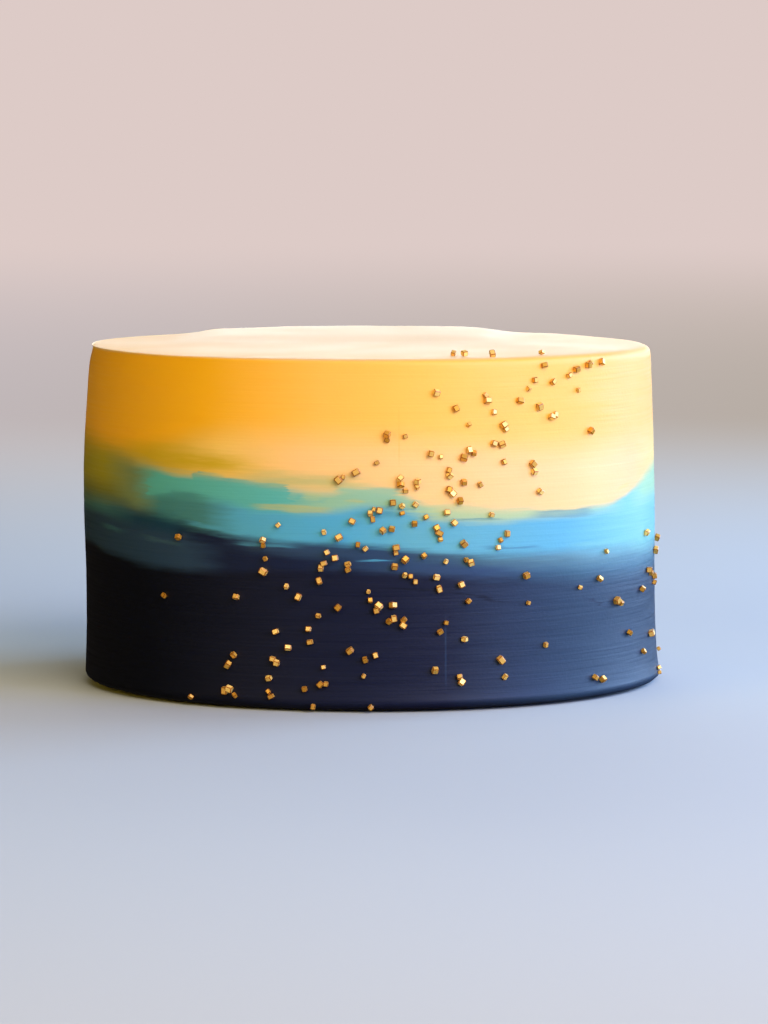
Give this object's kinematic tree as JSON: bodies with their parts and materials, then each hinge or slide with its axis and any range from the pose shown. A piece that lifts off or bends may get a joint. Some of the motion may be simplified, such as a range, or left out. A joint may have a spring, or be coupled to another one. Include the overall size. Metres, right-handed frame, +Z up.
{
  "type": "layer cake",
  "caption": "Round frosted layer cake, uncut, with a smooth blended buttercream side, a flat top and gold sugar crystals scattered across its front.",
  "frame": {"origin": "centre of the cake's flat base, where it rests", "axes": "+Z up along the cake's own axis; -Y is the front, which the fall of sugar crystals crosses; +X is the right seen from the front"},
  "size_m": [0.2153, 0.2172, 0.1274],
  "materials": {
    "buttercream": "smooth buttercream with a soft sheen, golden yellow over teal over navy",
    "gold_sugar": "gold-coated coarse sugar crystals, glittering"
  },
  "bodies": {
    "root": {"frosted_cake": "buttercream"}
  },
  "joints": []
}
